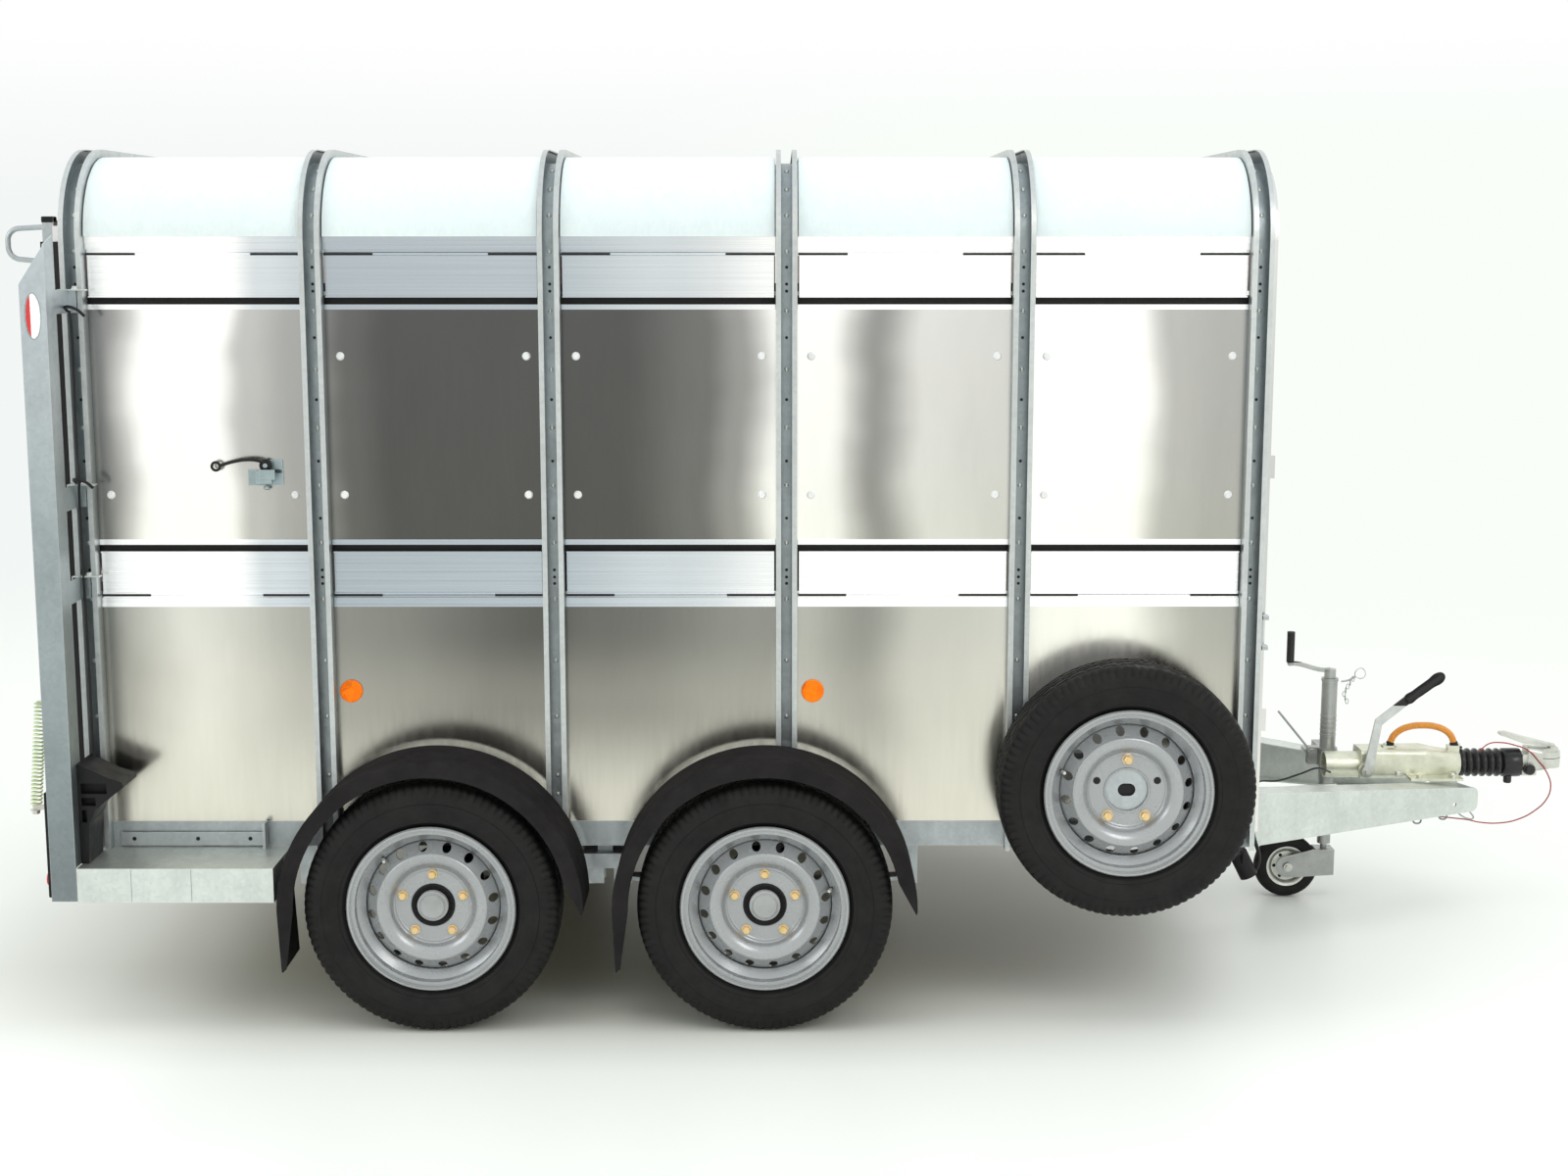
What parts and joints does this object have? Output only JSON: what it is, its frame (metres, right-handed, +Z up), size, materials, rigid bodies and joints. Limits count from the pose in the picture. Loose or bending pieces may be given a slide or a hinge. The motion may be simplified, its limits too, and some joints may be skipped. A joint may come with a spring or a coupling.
{
  "type": "livestock trailer",
  "caption": "Twin-axle livestock trailer: sheet-sided body on steel hoops, tilting vents, rear ramp, outboard wheels, spare wheel, drawbar with overrun coupling, handbrake and jockey wheel.",
  "frame": {"origin": "on the ground, on the centreline, midway between the two axles", "axes": "+X forward to the hitch, +Y to the left, +Z up"},
  "size_m": [4.468, 2.29, 2.285],
  "materials": {
    "galvanised": "hot-dip galvanised, spangled",
    "aluminium_panel": "satin rolled sheet",
    "aluminium_extrusion": "mill-finish extrusion",
    "floor_ply": "resin-faced boards, sheet covered",
    "ramp_batten": "mill finish",
    "roof_sheet": "translucent white sheet",
    "black_steel": "black paint",
    "lamp_lens": "red and clear lenses",
    "reflector": "amber prismatic reflector",
    "black_plastic": "moulded black plastic",
    "guard_plastic": "satin charcoal plastic",
    "screw_white": "pale cup-washer screws",
    "zinc": "pale zinc plate",
    "tyre_rubber": "tyre rubber",
    "wheel_paint": "silver wheel paint",
    "hub_iron": "black cast iron with grey cap and brass bolts",
    "bellows_rubber": "black moulded rubber",
    "rope": "orange braided rope"
  },
  "bodies": {
    "trailer_body": {"axle_beams": "black_steel", "body_hoops": "galvanised", "chassis_frame": "galvanised", "coupling_bellows": "bellows_rubber", "coupling_housing": "zinc", "drawbar_rails": "galvanised", "electrical_plug": "black_plastic", "floor_deck": "floor_ply", "front_wall": "aluminium_panel", "jockey_clamp": "zinc", "leaf_springs": "galvanised", "lower_side_panels": "aluminium_panel", "mudguards": "guard_plastic", "panel_screws": "screw_white", "rear_lamps": "lamp_lens", "rear_pillars": "galvanised", "rear_steps": "galvanised", "roof_skin": "roof_sheet", "rope_handle": "rope", "side_base_rails": "galvanised", "side_latch": "zinc", "side_reflectors": "reflector", "spare_tyre": "tyre_rubber", "spare_wheel_carrier": "galvanised", "spare_wheel_rim": "wheel_paint", "upper_side_panels": "aluminium_panel", "vent_rails": "aluminium_extrusion", "wheel_chocks": "black_plastic"},
    "wheel_rear_right": {"tyre_rear_right": "tyre_rubber", "wheel_rim_rear_right": "wheel_paint", "wheel_hub_rear_right": "hub_iron"},
    "wheel_front_right": {"tyre_front_right": "tyre_rubber", "wheel_rim_front_right": "wheel_paint", "wheel_hub_front_right": "hub_iron"},
    "wheel_rear_left": {"tyre_rear_left": "tyre_rubber", "wheel_rim_rear_left": "wheel_paint", "wheel_hub_rear_left": "hub_iron"},
    "wheel_front_left": {"tyre_front_left": "tyre_rubber", "wheel_rim_front_left": "wheel_paint", "wheel_hub_front_left": "hub_iron"},
    "ramp": {"ramp_panel": "floor_ply", "ramp_frame": "galvanised", "ramp_battens": "ramp_batten", "ramp_handles": "galvanised", "ramp_assist_springs": "zinc"},
    "vents_upper_right": {"upper_vent_flaps_right": "aluminium_extrusion"},
    "vents_upper_left": {"upper_vent_flaps_left": "aluminium_extrusion"},
    "vents_lower_right": {"lower_vent_flaps_right": "aluminium_extrusion"},
    "vents_lower_left": {"lower_vent_flaps_left": "aluminium_extrusion"},
    "inspection_door": {"front_door": "aluminium_panel"},
    "gate_bolt": {"side_latch_bolt": "zinc"},
    "overrun_head": {"coupling_head": "zinc"},
    "latch_lever": {"coupling_lever": "zinc"},
    "handbrake": {"handbrake_lever": "zinc"},
    "clamp_handle": {"jockey_clamp_handle": "zinc"},
    "jockey_outer": {"jockey_outer_tube": "zinc"},
    "jockey_crank_body": {"jockey_crank": "zinc"},
    "jockey_inner": {"jockey_inner_tube": "zinc"},
    "jockey_fork_body": {"jockey_fork": "zinc"},
    "jockey_wheel_body": {"jockey_wheel": "tyre_rubber"}
  },
  "joints": [
    {"name": "wheel_rear_right_spin", "type": "hinge", "parent": "trailer_body", "child": "wheel_rear_right", "pos_m": [-0.433, -1.05, 0.3345], "axis": [0, 1, 0], "continuous": true},
    {"name": "wheel_front_right_spin", "type": "hinge", "parent": "trailer_body", "child": "wheel_front_right", "pos_m": [0.433, -1.05, 0.3345], "axis": [0, 1, 0], "continuous": true},
    {"name": "wheel_rear_left_spin", "type": "hinge", "parent": "trailer_body", "child": "wheel_rear_left", "pos_m": [-0.433, 1.05, 0.3345], "axis": [0, 1, 0], "continuous": true},
    {"name": "wheel_front_left_spin", "type": "hinge", "parent": "trailer_body", "child": "wheel_front_left", "pos_m": [0.433, 1.05, 0.3345], "axis": [0, 1, 0], "continuous": true},
    {"name": "ramp_hinge", "type": "hinge", "parent": "trailer_body", "child": "ramp", "pos_m": [-1.388, 0, 0.478], "axis": [0, -1, 0], "range_deg": [0, 100]},
    {"name": "vent_upper_right_tilt", "type": "hinge", "parent": "trailer_body", "child": "vents_upper_right", "pos_m": [0, -0.912, 2.014], "axis": [1, 0, 0], "range_deg": [-60, 0]},
    {"name": "vent_upper_left_tilt", "type": "hinge", "parent": "trailer_body", "child": "vents_upper_left", "pos_m": [0, 0.912, 2.014], "axis": [1, 0, 0], "range_deg": [0, 60]},
    {"name": "vent_lower_right_tilt", "type": "hinge", "parent": "trailer_body", "child": "vents_lower_right", "pos_m": [0, -0.912, 1.13], "axis": [1, 0, 0], "range_deg": [0, 60]},
    {"name": "vent_lower_left_tilt", "type": "hinge", "parent": "trailer_body", "child": "vents_lower_left", "pos_m": [0, 0.912, 1.13], "axis": [1, 0, 0], "range_deg": [-60, 0]},
    {"name": "inspection_door_hinge", "type": "hinge", "parent": "trailer_body", "child": "inspection_door", "pos_m": [1.768, -0.85, 1.12], "axis": [0, 0, 1], "range_deg": [-110, 0]},
    {"name": "gate_bolt_slide", "type": "slide", "parent": "trailer_body", "child": "gate_bolt", "axis": [0, -1, 0], "range_m": [0, 0.02]},
    {"name": "overrun_slide", "type": "slide", "parent": "trailer_body", "child": "overrun_head", "axis": [-1, 0, 0], "range_m": [0, 0.08], "deforming": ["coupling_bellows"]},
    {"name": "latch_lever_lift", "type": "hinge", "parent": "overrun_head", "child": "latch_lever", "pos_m": [2.866, 0, 0.497], "axis": [0, 1, 0], "range_deg": [0, 50]},
    {"name": "handbrake_pull", "type": "hinge", "parent": "trailer_body", "child": "handbrake", "pos_m": [2.274, -0.077, 0.44], "axis": [0, 1, 0], "range_deg": [-30, 25]},
    {"name": "clamp_handle_turn", "type": "hinge", "parent": "trailer_body", "child": "clamp_handle", "pos_m": [2.14, 0.067, 0.466], "axis": [0, 1, 0], "range_deg": [-60, 30]},
    {"name": "jockey_tube_slide", "type": "slide", "parent": "trailer_body", "child": "jockey_outer", "axis": [0, 0, 1], "range_m": [0, 0.12]},
    {"name": "jockey_crank_turn", "type": "hinge", "parent": "jockey_outer", "child": "jockey_crank_body", "pos_m": [2.19, 0.085, 0.7], "axis": [0, 0, 1], "range_deg": [-1440, 1440]},
    {"name": "jockey_screw_slide", "type": "slide", "parent": "jockey_outer", "child": "jockey_inner", "axis": [0, 0, 1], "range_m": [-0.041, 0.041]},
    {"name": "jockey_swivel", "type": "hinge", "parent": "jockey_inner", "child": "jockey_fork_body", "pos_m": [2.19, 0.085, 0.15], "axis": [0, 0, 1], "continuous": true},
    {"name": "jockey_wheel_spin", "type": "hinge", "parent": "jockey_fork_body", "child": "jockey_wheel_body", "pos_m": [2.072, 0.085, 0.1], "axis": [0, 1, 0], "continuous": true}
  ],
  "couplings": [
    {"joint": "jockey_screw_slide", "follows": "jockey_crank_turn", "m_per_rad": 0.0015915}
  ]
}
